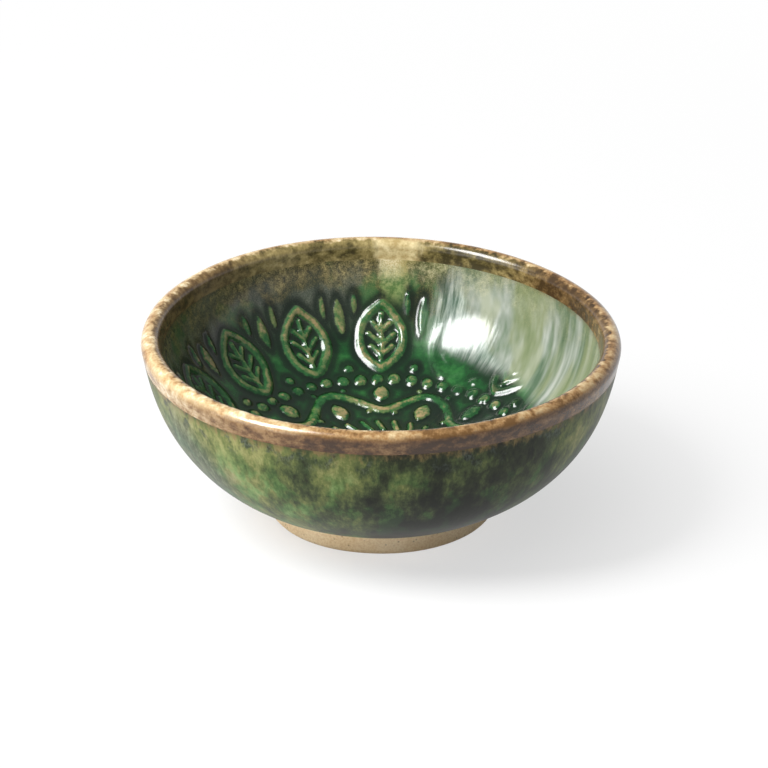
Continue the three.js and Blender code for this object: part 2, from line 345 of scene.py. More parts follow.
def buff_stoneware(name):
    """Bare buff stoneware, fired and wiped with a sponge: matt, sandy, with iron specks."""
    material, tree, shader = new_material(name, 0.88)
    place = add(tree, "ShaderNodeTexCoord").outputs["Object"]
    # Grains of sand of about 0.5 mm, iron specks about 1.6 mm apart, and clouds of about 12 mm.
    sand = add(tree, "ShaderNodeTexNoise", {"Vector": place, "Scale": 1 / (0.45 * MM), "Detail": 3.0})
    specks = add(tree, "ShaderNodeTexVoronoi", {"Vector": place, "Scale": 1 / (1.6 * MM)})
    clouds = add(tree, "ShaderNodeTexNoise", {"Vector": place, "Scale": 1 / (12 * MM), "Detail": 2.0})
    colour = add(tree, "ShaderNodeValToRGB", [clouds], stops=[(0.3, "#e2c79d"), (0.7, "#f5e2c0")])
    grain = add(tree, "ShaderNodeValToRGB", [sand], stops=[(0.35, "#cbaa7c"), (0.6, "#f4e4c4")])
    colour = add(tree, "ShaderNodeMix", [0.35, colour, grain], data_type="RGBA")
    dots = add(tree, "ShaderNodeMapRange", [specks, 0.1, 0.16, 0.4, 0.0])
    colour = add(tree, "ShaderNodeMix", [dots, colour, "#5d4026"], data_type="RGBA")
    return material, surfaced(tree, shader, colour, sand, 0.35, 0.12 * MM)


clay_bowl = grown("pressed_clay_body", clay_tree(), {
    "Section": section,
    "Columns": CLAY_COLUMNS,
    "Rows": CLAY_ROWS,
    "Length": PAST_END * sum(lengths),
    "Material": buff_stoneware("bare_buff_stoneware")[0],
})
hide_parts("clay_bowl")
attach(clay_bowl, "root")

# Foot ring
# A ring of the same clay, luted to the underside with slip, trimmed to a slight taper and sponged
# on its edges. It is left bare, so the turning lines of the trimming tool show on it.
FOOT_TAPER = 0.6 * MM
FOOT_BEVEL = 0.7 * MM
FOOT_ROWS = 40
TURNING_LINE = 0.7 * MM
TURNING_WAVES = 60.0  # per metre along a line, so that it wavers a little


def foot_section():
    """The ring's section from its outer top corner, under its sole and up its inner side."""
    inner = FOOT_TOP_RADIUS - FOOT_WIDTH
    bottom = FOOT_TOP_RADIUS - FOOT_TAPER
    return straight([
        Vector((FOOT_TOP_RADIUS, 0, FOOT_HEIGHT)),
        Vector((bottom, 0, FOOT_BEVEL)),
        Vector((bottom - FOOT_BEVEL, 0, 0)),
        Vector((inner + FOOT_TAPER + FOOT_BEVEL, 0, 0)),
        Vector((inner + FOOT_TAPER, 0, FOOT_BEVEL)),
        Vector((inner, 0, FOOT_HEIGHT)),
        Vector((FOOT_TOP_RADIUS, 0, FOOT_HEIGHT)),
    ])


def trimmed_foot_clay():
    """Trimmed stoneware: the same sandy clay, with the fine turning lines of the tool."""
    material, sandy = buff_stoneware("trimmed_foot_clay")
    tree = material.node_tree
    place = add(tree, "ShaderNodeTexCoord").outputs["Object"]
    stretched = add(tree, "ShaderNodeMapping",
                    {"Vector": place, "Scale": (TURNING_WAVES, TURNING_WAVES, 1 / TURNING_LINE)})
    lines = add(tree, "ShaderNodeTexNoise", {"Vector": stretched, "Scale": 1.0, "Detail": 1.0})
    bump = add(tree, "ShaderNodeBump",
               {"Strength": 0.5, "Distance": 0.1 * MM, "Height": lines, "Normal": sandy})
    tree.links.new(bump.outputs[0], tree.nodes["Principled BSDF"].inputs["Normal"])
    return material


foot_curve = curve_object("foot_section", foot_section())
foot_ring = grown("bare_foot_ring", clay_tree(), {
    "Section": foot_curve,
    "Columns": CLAY_COLUMNS,
    "Rows": FOOT_ROWS,
    "Length": PAST_END * sum(stretch_length(s) for s in foot_section()),
    "Material": trimmed_foot_clay(),
})
bpy.data.objects.remove(foot_curve)
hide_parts("foot_ring")
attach(foot_ring, "root")

# Inside glaze
# A green reactive glaze poured inside and out again. It runs off the raised lines of the relief,
# which show tan, and pools dark beside them; near the lip it thins to an olive and brown fur.
COLUMNS = 560
INSIDE_ROWS = (165, 9)
RIM_BAND_INSIDE = 2.4 * MM
RELIEF_RISE = 0.67 * MM
BOSS_RADIUS = 2 * MM
GROUND = 0.9 * MM
PETALS = 7
PETAL_LENGTH = 8.6 * MM
PETAL_HALF_WIDTH = 2.2 * MM
CORD_STRANDS = 28
CORD_WIDTH = 3.4 * MM
STRAND_SLANT = 0.7 * MM
VINE_WAVES = 7
VINE_BAND = 12 * MM
VINE_SWING = 3 * MM
VINE_LEAF_HALF_WIDTH = 2.3 * MM
BERRY_RADIUS = 1.1 * MM
LINE_WIDTH = 1.5 * MM
LINE_BEADS = 49
LINE_BEAD_RADIUS = 1.8 * MM
LEAVES = 14
LEAF_LENGTH = 18 * MM
LEAF_HALF_WIDTH = 5 * MM
SIDE_VEINS = ((4.6, 6.8, 2.4), (7.4, 9.8, 2.9), (10.4, 12.4, 2.1))  # base, tip and reach to the side, in mm
BUD_LENGTH = 9.5 * MM
BUDLET_LENGTH = 6.4 * MM
BOLD_RIDGE = 1.6 * MM
FINE_RIDGE = 0.95 * MM
RIDGE_TOP = 0.1  # share of a ridge's half width that is level
LOBE_EDGE = 1.1 * MM
STRAY = 1.6 * MM
STRAY_LENGTH = 9 * MM
WEAR_LENGTH = 14 * MM
FILLED_TURN = math.radians(57)
FILLED_AT = 46 * MM
FILLED_WIDTH = 18 * MM
SMOOTH_WALL_TURN = math.radians(20)
SMOOTH_WALL_FROM = 33 * MM

petal_start = BOSS_RADIUS + GROUND
cord_start = petal_start + PETAL_LENGTH + GROUND
vine_start = cord_start + CORD_WIDTH + GROUND
vine_middle = vine_start + VINE_BAND / 2
line_start = vine_start + VINE_BAND
leaf_start = line_start + LINE_WIDTH + GROUND
leaf_end = leaf_start + LEAF_LENGTH


def almond_tree():
    """A closed outline that points out from the middle: round where Point is 0, a leaf where it is 1."""
    tree, given, out = node_tree("almond", [
        ("Start", "Float", 0.0),
        ("Length", "Float", 0.01),
        ("Half width", "Float", 0.002),
        ("Point", "Float", 0.7),
        ("Aside", "Float", 0.0),
    ])
    start, length, half_width, point, aside = given.outputs[:5]
    circle = add(tree, "GeometryNodeCurvePrimitiveCircle", {"Resolution": 40, "Radius": 1.0}, mode="RADIUS")
    here = add(tree, "ShaderNodeSeparateXYZ", [add(tree, "GeometryNodeInputPosition")]).outputs
    slim = add(tree, "ShaderNodeMath", [here["Y"]], operation="ABSOLUTE")
    slim = add(tree, "ShaderNodeMath", [slim, point], operation="POWER")
    y = summed(tree, aside, (here["Y"], eased(tree, slim, half_width)))
    x = summed(tree, start, (summed(tree, 0.5, (here["X"], 0.5)), length))
    outline = add(tree, "GeometryNodeSetPosition",
                  {"Geometry": circle, "Position": add(tree, "ShaderNodeCombineXYZ", [x, y])})
    tree.links.new(outline.outputs[0], out.inputs["Geometry"])
    return tree


def ring_of_motifs_tree():
    """Copies of one motif set round the middle, the first turned by the phase."""
    tree, given, out = node_tree("ring_of_motifs", [
        ("Motif", "Geometry", None),
        ("Count", "Int", 8),
        ("Phase", "Float", 0.0),
    ])
    points = add(tree, "GeometryNodePoints", {"Count": given.outputs["Count"]})
    number = summed(tree, add(tree, "GeometryNodeInputIndex"), given.outputs["Phase"])
    turn = add(tree, "ShaderNodeMath", [number, given.outputs["Count"]], operation="DIVIDE")
    rotation = add(tree, "FunctionNodeEulerToRotation",
                   [add(tree, "ShaderNodeCombineXYZ", {"Z": summed(tree, (turn, 2 * math.pi))})])
    copies = add(tree, "GeometryNodeInstanceOnPoints",
                 {"Points": points, "Instance": given.outputs["Motif"], "Rotation": rotation})
    real = add(tree, "GeometryNodeRealizeInstances", {"Geometry": copies})
    tree.links.new(real.outputs[0], out.inputs["Geometry"])
    return tree


almond = almond_tree()
ring_of_motifs = ring_of_motifs_tree()


def pattern_tree():
    """The pressed design, drawn flat: a point's distance from the middle is its distance along the section.
    From the middle out: flower, cord, running vine, row of beads, and a ring of veined leaves and buds."""
    tree, given, out = node_tree("pressed_pattern", [], [
        ("Bold", "Geometry"),
        ("Fine", "Geometry"),
        ("Lobe faces", "Geometry"),
        ("Lobe edges", "Geometry"),
    ])

    def joined(curves):
        join = add(tree, "GeometryNodeJoinGeometry")
        for curve in curves:
            tree.links.new(curve.outputs[0], join.inputs[0])
        return join

    def ring(count, phase, *curves):
        return add(tree, "GeometryNodeGroup", [joined(curves), count, phase], node_tree=ring_of_motifs)

    def leaf(start, end, half_width, point=0.7, aside=0.0):
        sizes = [start, end - start, half_width, point, aside]
        return add(tree, "GeometryNodeGroup", sizes, node_tree=almond)

    def bead(centre, radius, aside=0.0):
        return leaf(centre - radius, centre + radius, radius, 0.0, aside)

    stem = add(tree, "GeometryNodeCurvePrimitiveCircle", {"Resolution": 360, "Radius": vine_middle},
               mode="RADIUS")
    turn = add(tree, "GeometryNodeSplineParameter").outputs["Factor"]
    swing = wave(tree, turn, VINE_WAVES, 0.25 / VINE_WAVES)
    farther = summed(tree, 1.0, (swing, VINE_SWING / vine_middle))
    swung = add(tree, "ShaderNodeVectorMath", [add(tree, "GeometryNodeInputPosition"), farther],
                operation="SCALE")
    stem = add(tree, "GeometryNodeSetPosition", {"Geometry": stem, "Position": swung})
    strokes = [
        ((cord_start + 0.2 * MM, -STRAND_SLANT), (cord_start + CORD_WIDTH - 0.2 * MM, STRAND_SLANT)),
        ((leaf_start + 3.0 * MM, 0), (leaf_end - 3.6 * MM, 0)),
    ]
    for base, tip, reach in SIDE_VEINS:
        for hand in (-MM, MM):
            strokes.append(((leaf_start + base * MM, 0.3 * hand), (leaf_start + tip * MM, reach * hand)))
    strand, *veins = [add(tree, "GeometryNodeCurvePrimitiveLine", {"Start": (*start, 0), "End": (*end, 0)},
                          mode="POINTS") for start, end in strokes]
    bold = [
        stem,
        ring(LEAVES, 0.5, leaf(leaf_start + 1.2 * MM, leaf_end - 1.2 * MM, LEAF_HALF_WIDTH)),
    ]
    fine = [
        ring(CORD_STRANDS, 0.0, strand),
        ring(LEAVES, 0.5, *veins),
        ring(PETALS, 0.5,
             leaf(petal_start + 0.5 * MM, cord_start - GROUND - 0.4 * MM, PETAL_HALF_WIDTH, 0.4)),
    ]
    bud_tip, budlet_tip = leaf_end + 1.0 * MM, leaf_end + 1.8 * MM
    shapes = joined([
        ring(1, 0.0, bead(0.0, BOSS_RADIUS)),
        ring(LINE_BEADS, 0.5, bead(line_start + LINE_WIDTH / 2, LINE_BEAD_RADIUS)),
        ring(LEAVES, 0.0, bead(leaf_start + 1.6 * MM, 1.5 * MM),
             leaf(bud_tip - BUD_LENGTH, bud_tip, 1.8 * MM, 0.5)),
        *[ring(LEAVES, phase, leaf(budlet_tip - BUDLET_LENGTH, budlet_tip, 1.2 * MM, 0.4))
          for phase in (0.19, 0.81)],
        ring(VINE_WAVES, 0.75,
             leaf(vine_middle - 0.6 * MM, line_start - 0.5 * MM, VINE_LEAF_HALF_WIDTH, 0.5)),
        ring(VINE_WAVES, 0.25, leaf(vine_start + 0.2 * MM, vine_middle + 0.9 * MM, 2.1 * MM, 0.5)),
        *[ring(VINE_WAVES, phase, bead(vine_middle + 3.9 * MM, BERRY_RADIUS, 2.4 * hand),
               bead(vine_middle - 3.6 * MM, BERRY_RADIUS, -1.6 * hand))
          for phase, hand in ((0.0, MM), (0.5, -MM))],
    ])
    for label, kind, curves in (
        ("Bold", "GeometryNodeCurveToMesh", joined(bold)),
        ("Fine", "GeometryNodeCurveToMesh", joined(fine)),
        ("Lobe faces", "GeometryNodeFillCurve", shapes),
        ("Lobe edges", "GeometryNodeCurveToMesh", shapes),
    ):
        tree.links.new(add(tree, kind, {"Curve": curves}).outputs[0], out.inputs[label])
    return tree


def coat_rows(tree, given, edge_first):
    """Rows of a coat: its face from the first edge to the far edge, then its back again, with one more row
    at the first edge. Gives the grid, the turn, the share of the way to the far edge, and 1 on the face or
    0 on the back. Where the edge comes first, the first row lies on the clay."""
    face = given.outputs["Face rows"]
    rows = summed(tree, face, given.outputs["Back rows"], 2.0)
    grid, turn, row = grid_rows(tree, given.outputs["Columns"], rows)
    back_start = summed(tree, face, 2.0)
    out_share = add(tree, "ShaderNodeMapRange", [row, 1.0, summed(tree, face, 1.0)])
    home_share = add(tree, "ShaderNodeMapRange", [row, back_start, summed(tree, rows, -1.0)])
    after_first = add(tree, "ShaderNodeMath", [row, 0.5 if edge_first else -0.5], operation="GREATER_THAN")
    before_back = add(tree, "ShaderNodeMath", [row, back_start], operation="LESS_THAN")
    return grid, turn, summed(tree, out_share, (home_share, -1.0)), eased(tree, after_first, before_back)


COAT_INPUTS = [
    ("Section", "Object", None),
    ("Columns", "Int", COLUMNS),
    ("Face rows", "Int", 40),
    ("Back rows", "Int", 8),
    ("Start", "Float", 0.0),
    ("End", "Float", 0.05),
    ("Depth", "Float", GLAZE_DEPTH),
    ("Material", "Material", None),
]


def coat(name, tree, rows, start, end, material):
    """A coat of glaze between two lines of the section, with so many rows on its face and its back."""
    return grown(name, tree, {
        "Section": section,
        "Columns": COLUMNS,
        "Face rows": rows[0],
        "Back rows": rows[1],
        "Start": start,
        "End": end,
        "Depth": GLAZE_DEPTH,
        "Material": material,
    })


def relief_coat_tree():
    """The inside coat: a sheet of glaze whose face follows the pressed pattern."""
    tree, given, out = node_tree("relief_coat", COAT_INPUTS)
    grid, turn, share, lifted = coat_rows(tree, given, False)
    along = add(tree, "ShaderNodeMapRange", [share, 0.0, 1.0, given.outputs["Start"], given.outputs["End"]])
    flat = add(tree, "ShaderNodeVectorMath", [outwards(tree, turn), along], operation="SCALE")
    # A hand-cut mould: every line strays a little from its drawn path.
    stray = add(tree, "ShaderNodeTexNoise", {"Vector": flat, "Scale": 1 / STRAY_LENGTH, "Detail": 1.0})
    stray = add(tree, "ShaderNodeVectorMath", [stray.outputs["Color"], (0.5, 0.5, 0.5)], operation="SUBTRACT")
    stray = add(tree, "ShaderNodeVectorMath", [stray, (STRAY, STRAY, 0.0), flat], operation="MULTIPLY_ADD")
    drawn = add(tree, "GeometryNodeGroup", node_tree=pattern_tree())
    parts = (("Bold", "EDGES"), ("Fine", "EDGES"), ("Lobe faces", "FACES"), ("Lobe edges", "EDGES"))
    to_bold, to_fine, to_lobe, in_lobe = [
        add(tree, "GeometryNodeProximity", {"Geometry": drawn.outputs[label], "Sample Position": stray},
            target_element=element).outputs["Distance"]
        for label, element in parts
    ]
    ridge = eased(tree, (to_bold, BOLD_RIDGE, RIDGE_TOP * BOLD_RIDGE))
    fine = eased(tree, (to_fine, FINE_RIDGE, RIDGE_TOP * FINE_RIDGE))
    within = add(tree, "ShaderNodeMath", [to_lobe, WELD], operation="LESS_THAN")
    dome = eased(tree, within, (in_lobe, 0.0, LOBE_EDGE))
    relief = add(tree, "ShaderNodeMath", [ridge, fine], operation="MAXIMUM")
    relief = add(tree, "ShaderNodeMath", [relief, dome, 0.15], operation="SMOOTH_MAX")
    # The mould was worn, so the relief is crisp in some places and nearly gone in others.
    wear = add(tree, "ShaderNodeTexNoise", {"Vector": flat, "Scale": 1 / WEAR_LENGTH, "Detail": 2.0})
    wear = add(tree, "ShaderNodeMapRange", [wear, 0.35, 0.55, 0.6, 1.0])
    # On the right-hand wall the glaze is so thick that it nearly fills the relief.
    heart = (FILLED_AT * math.cos(FILLED_TURN), FILLED_AT * math.sin(FILLED_TURN), 0)
    right = (math.cos(SMOOTH_WALL_TURN), math.sin(SMOOTH_WALL_TURN), 0)
    off_heart = add(tree, "ShaderNodeVectorMath", [flat, heart], operation="DISTANCE").outputs["Value"]
    out_right = add(tree, "ShaderNodeVectorMath", [flat, right], operation="DOT_PRODUCT").outputs["Value"]
    standing = add(tree, "ShaderNodeMath", [
        eased(tree, (off_heart, 0.55 * FILLED_WIDTH, FILLED_WIDTH)),
        eased(tree, (out_right, SMOOTH_WALL_FROM, 1.2 * SMOOTH_WALL_FROM, 1.0, 0.05)),
    ], operation="MINIMUM")
    relief = eased(tree, relief, lifted, wear, standing)
    off_bold = summed(tree, to_bold, -BOLD_RIDGE)
    off_fine = summed(tree, to_fine, -FINE_RIDGE)
    near = add(tree, "ShaderNodeMath", [off_bold, off_fine], operation="MINIMUM")
    near = add(tree, "ShaderNodeMath", [near, to_lobe], operation="MINIMUM")
    # Where the glaze fills the relief; the inside glaze lays its painted sheen there.
    thick = summed(tree, 1.0, (standing, -1.0))
    near_mm = summed(tree, (near, 1 / MM), (thick, 6.0))
    lift = eased(tree, summed(tree, given.outputs["Depth"], (relief, RELIEF_RISE)), lifted)
    lay_on_bowl(tree, given, out, grid, turn, along, lift,
                [("relief", "FLOAT", relief), ("near", "FLOAT", near_mm), ("thick", "FLOAT", thick)])
    return tree


def glossy_glaze(name, roughness, specular_level=0.5):
    """A fired glaze: glass over clay. The less it reflects, the more matt it looks."""
    material, tree, shader = new_material(name, roughness)
    shader.inputs["IOR"].default_value = 1.52
    shader.inputs["Specular IOR Level"].default_value = specular_level
    return material, tree, shader


def fall_place(tree):
    """Where a point lies in millimetres: as one vector, and as its distance across to the right, its
    depth to the back and its distance along the section."""
    fall = add(tree, "ShaderNodeAttribute", attribute_name="fall").outputs["Vector"]
    return fall, *add(tree, "ShaderNodeSeparateXYZ", [fall]).outputs


def glaze_fur(tree, width, length, detail=3.0, slant=0.0):
    """Noise drawn out down the wall, as glaze runs in the kiln; width and length in millimetres.
    A slant tips the runs over, as a brush leaves them on the right-hand wall."""
    tipped = add(tree, "ShaderNodeMapping", {"Vector": fall_place(tree)[0], "Rotation": (slant, 0.0, 0.0)})
    drawn_out = add(tree, "ShaderNodeVectorMath", [tipped, (1 / width, 1 / width, 1 / length)],
                    operation="MULTIPLY")
    return add(tree, "ShaderNodeTexNoise",
               {"Vector": drawn_out, "Scale": 1.0, "Detail": detail, "Roughness": 0.6})


def laid_over(tree, colour, other, *parts):
    """One colour over another, as far as the product of the parts lets it through: a second glaze, and in
    places painted light and shade.
    """
    return add(tree, "ShaderNodeMix", [eased(tree, *parts), colour, other], data_type="RGBA")


CREAM_RUN_ACROSS = 3.6  # millimetres to the right of the middle
RIGHT_WALL_ACROSS = 0.94 / 50  # the direction of the smooth wall, over the bowl's radius in millimetres
RIGHT_WALL_DEPTH = 0.34 / 50


def beside_cream_run(tree, across):
    """How far a point lies to the side of the cream run."""
    off_middle = summed(tree, across, -CREAM_RUN_ACROSS)
    return add(tree, "ShaderNodeMath", [off_middle], operation="ABSOLUTE")


def pooled_green_glaze():
    """Green reactive glaze: emerald where thick, near black where it pools, tan on the crests."""
    material, tree, shader = glossy_glaze("pooled_green_glaze", 0.18, 0.48)
    relief, near, thick = [add(tree, "ShaderNodeAttribute", attribute_name=label).outputs["Fac"]
                           for label in ("relief", "near", "thick")]
    _, across, depth, along = fall_place(tree)
    place = add(tree, "ShaderNodeTexCoord").outputs["Object"]
    clouds, film, mottle, grain = [
        add(tree, "ShaderNodeTexNoise",
            {"Vector": place, "Scale": 1 / (size * MM), "Detail": detail, "Roughness": roughness})
        for size, detail, roughness in ((9, 4.0, 0.5), (12, 3.0, 0.5), (1.4, 4.0, 0.7), (0.25, 1.0, 0.5))
    ]
    floor_green = add(tree, "ShaderNodeValToRGB", [summed(tree, clouds, (mottle, 0.35))],
                      stops=[(0.5, "#051f0d"), (0.62, "#0a3616"), (0.74, "#144c20"), (0.88, "#2f6e33")])
    # The wall is olive at the back, under a painted grey sheen on the left, and painted pale grey-green on
    # the right.
    wall_tone = summed(tree, (glaze_fur(tree, 5.0, 8.0), 0.235), (film, 0.47), (grain, 0.3))
    wall_olive = add(tree, "ShaderNodeValToRGB", [wall_tone],
                     stops=[(0.40, "#23301a"), (0.47, "#424224"), (0.54, "#6c6439"), (0.62, "#958a53")])
    grey_painted_sheen = add(tree, "ShaderNodeValToRGB", [wall_tone],
                    stops=[(0.38, "#23312a"), (0.5, "#4b5245"), (0.62, "#72776a")])
    wall = laid_over(tree, wall_olive, grey_painted_sheen, (summed(tree, film, (across, -0.006)), 0.46, 0.62))
    wall = laid_over(tree, wall, "#2f6433", (clouds, 0.54, 0.66, 0.0, 0.75))
    colour = laid_over(tree, floor_green, wall, (summed(tree, along, (clouds, 16.0)), 46.0, 58.0))
    # Glaze gathers in the corner beside every raised line, within about 1.5 mm of it.
    colour = laid_over(tree, colour, "#03170a", (near, 2.2, 0.3, 0.0, 0.88), (near, -0.9, -0.3))
    crest = summed(tree, (relief, 0.6), (mottle, 0.5))
    crest_tone = summed(tree, (mottle, 0.4), (film, 0.6))
    slope_green = add(tree, "ShaderNodeValToRGB", [crest_tone],
                      stops=[(0.42, "#12451e"), (0.52, "#2b6232"), (0.62, "#6d7a4a")])
    crest_tan = add(tree, "ShaderNodeValToRGB", [crest_tone],
                    stops=[(0.42, "#3c6436"), (0.5, "#6b7048"), (0.58, "#9a845c"), (0.66, "#b29a7a")])
    colour = laid_over(tree, colour, slope_green, (crest, 0.38, 0.62, 0.0, 0.85))
    colour = laid_over(tree, colour, crest_tan, (crest, 0.68, 0.84, 0.0, 0.85))
    # The right-hand wall is painted pale: its streaks are the glaze's own, its paleness painted sheen and
    # light. A dark green line lies along its foot.
    wall_streaks_and_sheen = add(tree, "ShaderNodeValToRGB", [glaze_fur(tree, 3.6, 40.0, 2.5, 0.5)],
                    stops=[(0.34, "#4d624c"), (0.43, "#677762"), (0.53, "#7f897b"), (0.68, "#a0a69c")])
    wall_streaks_and_sheen = laid_over(tree, wall_streaks_and_sheen, "#80875a",
                          (glaze_fur(tree, 8.0, 30.0, 2.0, 0.5), 0.44, 0.6, 0.0, 0.5))
    to_right = summed(tree, (across, RIGHT_WALL_ACROSS), (depth, RIGHT_WALL_DEPTH))
    wall_starts = summed(tree, (to_right, along), (film, 8.0))
    pale_here = eased(tree, (wall_starts, 36.5, 41.5, 0.0, 0.95))
    colour = laid_over(tree, colour, "#08260f", (wall_starts, 33.5, 35.0, 0.0, 0.7),
                       (wall_starts, 38.0, 36.0))
    colour = laid_over(tree, colour, wall_streaks_and_sheen, pale_here)
    # Round the highlight, where the glaze is thickest, a pale grey painted sheen lies over it in hairs that
    # run down the wall.
    painted_sheen = add(tree, "ShaderNodeValToRGB", [glaze_fur(tree, 1.0, 7.0, 4.0)],
               stops=[(0.36, "#4d6355"), (0.5, "#87958a"), (0.64, "#b9c1b7")])
    colour = laid_over(tree, colour, painted_sheen, thick, (summed(tree, along, (film, 10.0)), 40.0, 48.0, 0.0, 0.9),
                       (pale_here, 0.9, 0.3))
    # Towards the lip the glaze thins to a fine olive and brown speckle.
    lip = INSIDE_LENGTH / MM
    speckle = summed(tree, (mottle, 0.7), (grain, 0.3))
    fur = add(tree, "ShaderNodeValToRGB", [speckle],
              stops=[(0.40, "#353118"), (0.47, "#5e5630"), (0.54, "#857748"), (0.62, "#ab9b64")])
    fur_pale_and_sheen = add(tree, "ShaderNodeValToRGB", [speckle],
                   stops=[(0.40, "#5c5f38"), (0.48, "#84875a"), (0.55, "#a7a57c"), (0.63, "#c6c19c")])
    # To the right the speckle is paler, partly its own colour and partly painted sheen.
    fur = laid_over(tree, fur, fur_pale_and_sheen, (across, -2.0, 16.0, 0.0, 0.8))
    ragged = summed(tree, along, (glaze_fur(tree, 7.0, 9.0), 22.0))
    # The speckle thins where the painted sheen lies round the highlight.
    colour = laid_over(tree, colour, fur, (ragged, lip + 1.0, lip + 10.0, 0.0, 0.85),
                       (across, 46.0, 22.0, 0.45, 1.0), (thick, 0.0, 1.0, 1.0, 0.5))
    # One broad run of cream glaze comes down the back; it turns olive and then green as it thins.
    left = summed(tree, lip, (along, -1.0))
    aside = beside_cream_run(tree, summed(tree, across, (left, 0.02)))
    aside = summed(tree, aside, (glaze_fur(tree, 3.0, 4.0), 9.0), (left, 0.18))
    cream = add(tree, "ShaderNodeValToRGB", [grain], stops=[(0.4, "#cbb785"), (0.6, "#e8dbb2")])
    cream = laid_over(tree, cream, "#a29355", (summed(tree, across, (mottle, 3.0)), 4.6, 7.4, 0.0, 0.85))
    thinned = add(tree, "ShaderNodeValToRGB", [mottle], stops=[(0.4, "#4a6a36"), (0.6, "#83935a")])
    cream = laid_over(tree, cream, thinned, (summed(tree, left, (mottle, -5.0)), -0.5, 6.0))
    colour = laid_over(tree, colour, cream, (aside, 10.6, 7.6, 0.0, 0.92), (left, 13.5, 8.0),
                       (depth, 10.0, 20.0))
    # The last 2 mm under the lip is brown, less so at the back.
    brown = add(tree, "ShaderNodeValToRGB", [grain], stops=[(0.4, "#40351f"), (0.6, "#6c5b3a")])
    edge = summed(tree, along, (mottle, 3.0))
    colour = laid_over(tree, colour, brown, (edge, lip - 2.2, lip + 0.2, 0.0, 0.85),
                       (depth, 44.0, 30.0, 0.15, 1.0))
    ripple = summed(tree, (glaze_fur(tree, 2.2, 12.0, 2.0), 0.8), (mottle, 0.12))
    surfaced(tree, shader, colour, ripple, 0.35, 0.2 * MM)
    return material


INSIDE_RIM_LINE = INSIDE_LENGTH - RIM_BAND_INSIDE
inside_glaze = coat("inside_green_glaze", relief_coat_tree(), INSIDE_ROWS, 0.0, INSIDE_RIM_LINE,
                    pooled_green_glaze())
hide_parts("inside_glaze")
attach(inside_glaze, "root")

# Outside glaze
# The same glaze dipped on the outside, thinner and browner, run down in hairs and darker where it
# gathered. It ends in a rolled edge that wanders a little above the foot.
OUTSIDE_ROWS = (120, 8)
RIM_BAND_OUTSIDE = 2.2 * MM
BARE_CLAY = 2.6 * MM
LINE_TILT = 2 * MM
LINE_HIGH_TURN = 0.62
LINE_WANDER = 0.25 * MM
ROLL_WIDTH = 1.6 * MM
ROLL_DEPTH = 0.7 * MM
EDGE_DEPTH = 0.3 * MM


def run_coat_tree():
    """The outside coat: its lower edge tilts and wanders, and rolls over before it ends."""
    tree, given, out = node_tree("run_coat", COAT_INPUTS)
    grid, turn, share, lifted = coat_rows(tree, given, True)
    tilt = wave(tree, turn, 1, LINE_HIGH_TURN)
    wander = add(tree, "ShaderNodeTexNoise", {"Vector": outwards(tree, turn), "Scale": 3.5, "Detail": 3.0})
    wander = add(tree, "ShaderNodeMapRange", [wander, 0.3, 0.7, -2 * LINE_WANDER, 2 * LINE_WANDER])
    end = summed(tree, given.outputs["End"], (tilt, -LINE_TILT), wander)
    along = add(tree, "ShaderNodeMapRange", [share, 0.0, 1.0, given.outputs["Start"], end])
    to_end = summed(tree, end, (along, -1.0))
    swell = eased(tree, (to_end, 4 * ROLL_WIDTH, ROLL_WIDTH / 2, 0.0, ROLL_DEPTH - GLAZE_DEPTH))
    # The last part of the roll turns in as a quarter round.
    turned_in = add(tree, "ShaderNodeMapRange", [to_end, ROLL_WIDTH / 2, 0.0])
    under_root = summed(tree, 1.0, (eased(tree, turned_in, turned_in), -1.0))
    quarter_round = add(tree, "ShaderNodeMath", [under_root], operation="SQRT")
    above_edge = summed(tree, given.outputs["Depth"], swell, -EDGE_DEPTH)
    lift = eased(tree, summed(tree, EDGE_DEPTH, (above_edge, quarter_round)), lifted)
    to_end_mm = summed(tree, (to_end, 1 / MM))
    lay_on_bowl(tree, given, out, grid, turn, along, lift, [("near", "FLOAT", to_end_mm)])
    return tree


